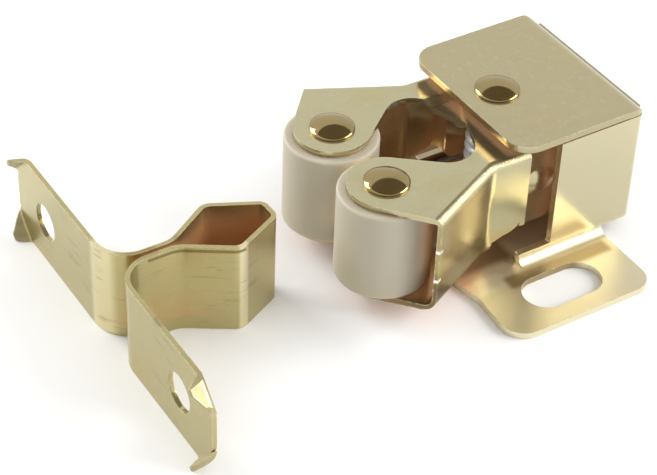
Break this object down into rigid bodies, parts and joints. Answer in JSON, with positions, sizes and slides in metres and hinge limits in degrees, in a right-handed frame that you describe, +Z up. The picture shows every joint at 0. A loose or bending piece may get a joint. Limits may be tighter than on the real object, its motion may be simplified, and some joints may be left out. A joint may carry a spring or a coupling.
{
  "type": "double roller catch",
  "caption": "Cabinet door catch with sprung roller arms in a folded case with slotted flanges, and the folded spear strike that the rollers grip.",
  "frame": {"origin": "on the pivot rivet's axis, level with the underside of the case's mounting base", "axes": "+Z up out of the mounting base, -Y out of the mouth with the rollers towards the strike, +X to the right arm"},
  "size_m": [0.0409, 0.0578, 0.0169],
  "materials": {
    "case": "brass-plated sheet steel, satin",
    "pivot_rivet": "brass-plated steel, polished head",
    "right_arm": "brass-plated sheet steel, satin",
    "left_arm": "brass-plated sheet steel, satin",
    "right_roller": "natural nylon, slightly translucent",
    "left_roller": "natural nylon, slightly translucent",
    "right_roller_rivet": "brass-plated steel, polished head",
    "left_roller_rivet": "brass-plated steel, polished head",
    "torsion_spring": "bright spring wire",
    "strike": "brass-plated sheet steel, satin"
  },
  "bodies": {
    "catch_body": {"case": "case", "pivot_rivet": "pivot_rivet", "torsion_spring": "torsion_spring", "strike": "strike"},
    "right_arm_body": {"right_arm": "right_arm", "right_roller_rivet": "right_roller_rivet"},
    "left_arm_body": {"left_arm": "left_arm", "left_roller_rivet": "left_roller_rivet"},
    "right_roller_body": {"right_roller": "right_roller"},
    "left_roller_body": {"left_roller": "left_roller"}
  },
  "joints": [
    {"name": "right_arm_hinge", "type": "hinge", "parent": "catch_body", "child": "right_arm_body", "pos_m": [0, 0, 0.008], "axis": [0, 0, 1], "range_deg": [0, 15], "stiffness_Nm_per_rad": 0.08, "springref_deg": -28.65, "deforming": ["torsion_spring"]},
    {"name": "left_arm_hinge", "type": "hinge", "parent": "catch_body", "child": "left_arm_body", "pos_m": [0, 0, 0.008], "axis": [0, 0, -1], "range_deg": [0, 15], "stiffness_Nm_per_rad": 0.08, "springref_deg": -28.65, "deforming": ["torsion_spring"]},
    {"name": "right_roller_spin", "type": "hinge", "parent": "right_arm_body", "child": "right_roller_body", "pos_m": [0.0051, -0.0167, 0.008], "axis": [0, 0, 1], "continuous": true},
    {"name": "left_roller_spin", "type": "hinge", "parent": "left_arm_body", "child": "left_roller_body", "pos_m": [-0.0051, -0.0167, 0.008], "axis": [0, 0, 1], "continuous": true}
  ]
}
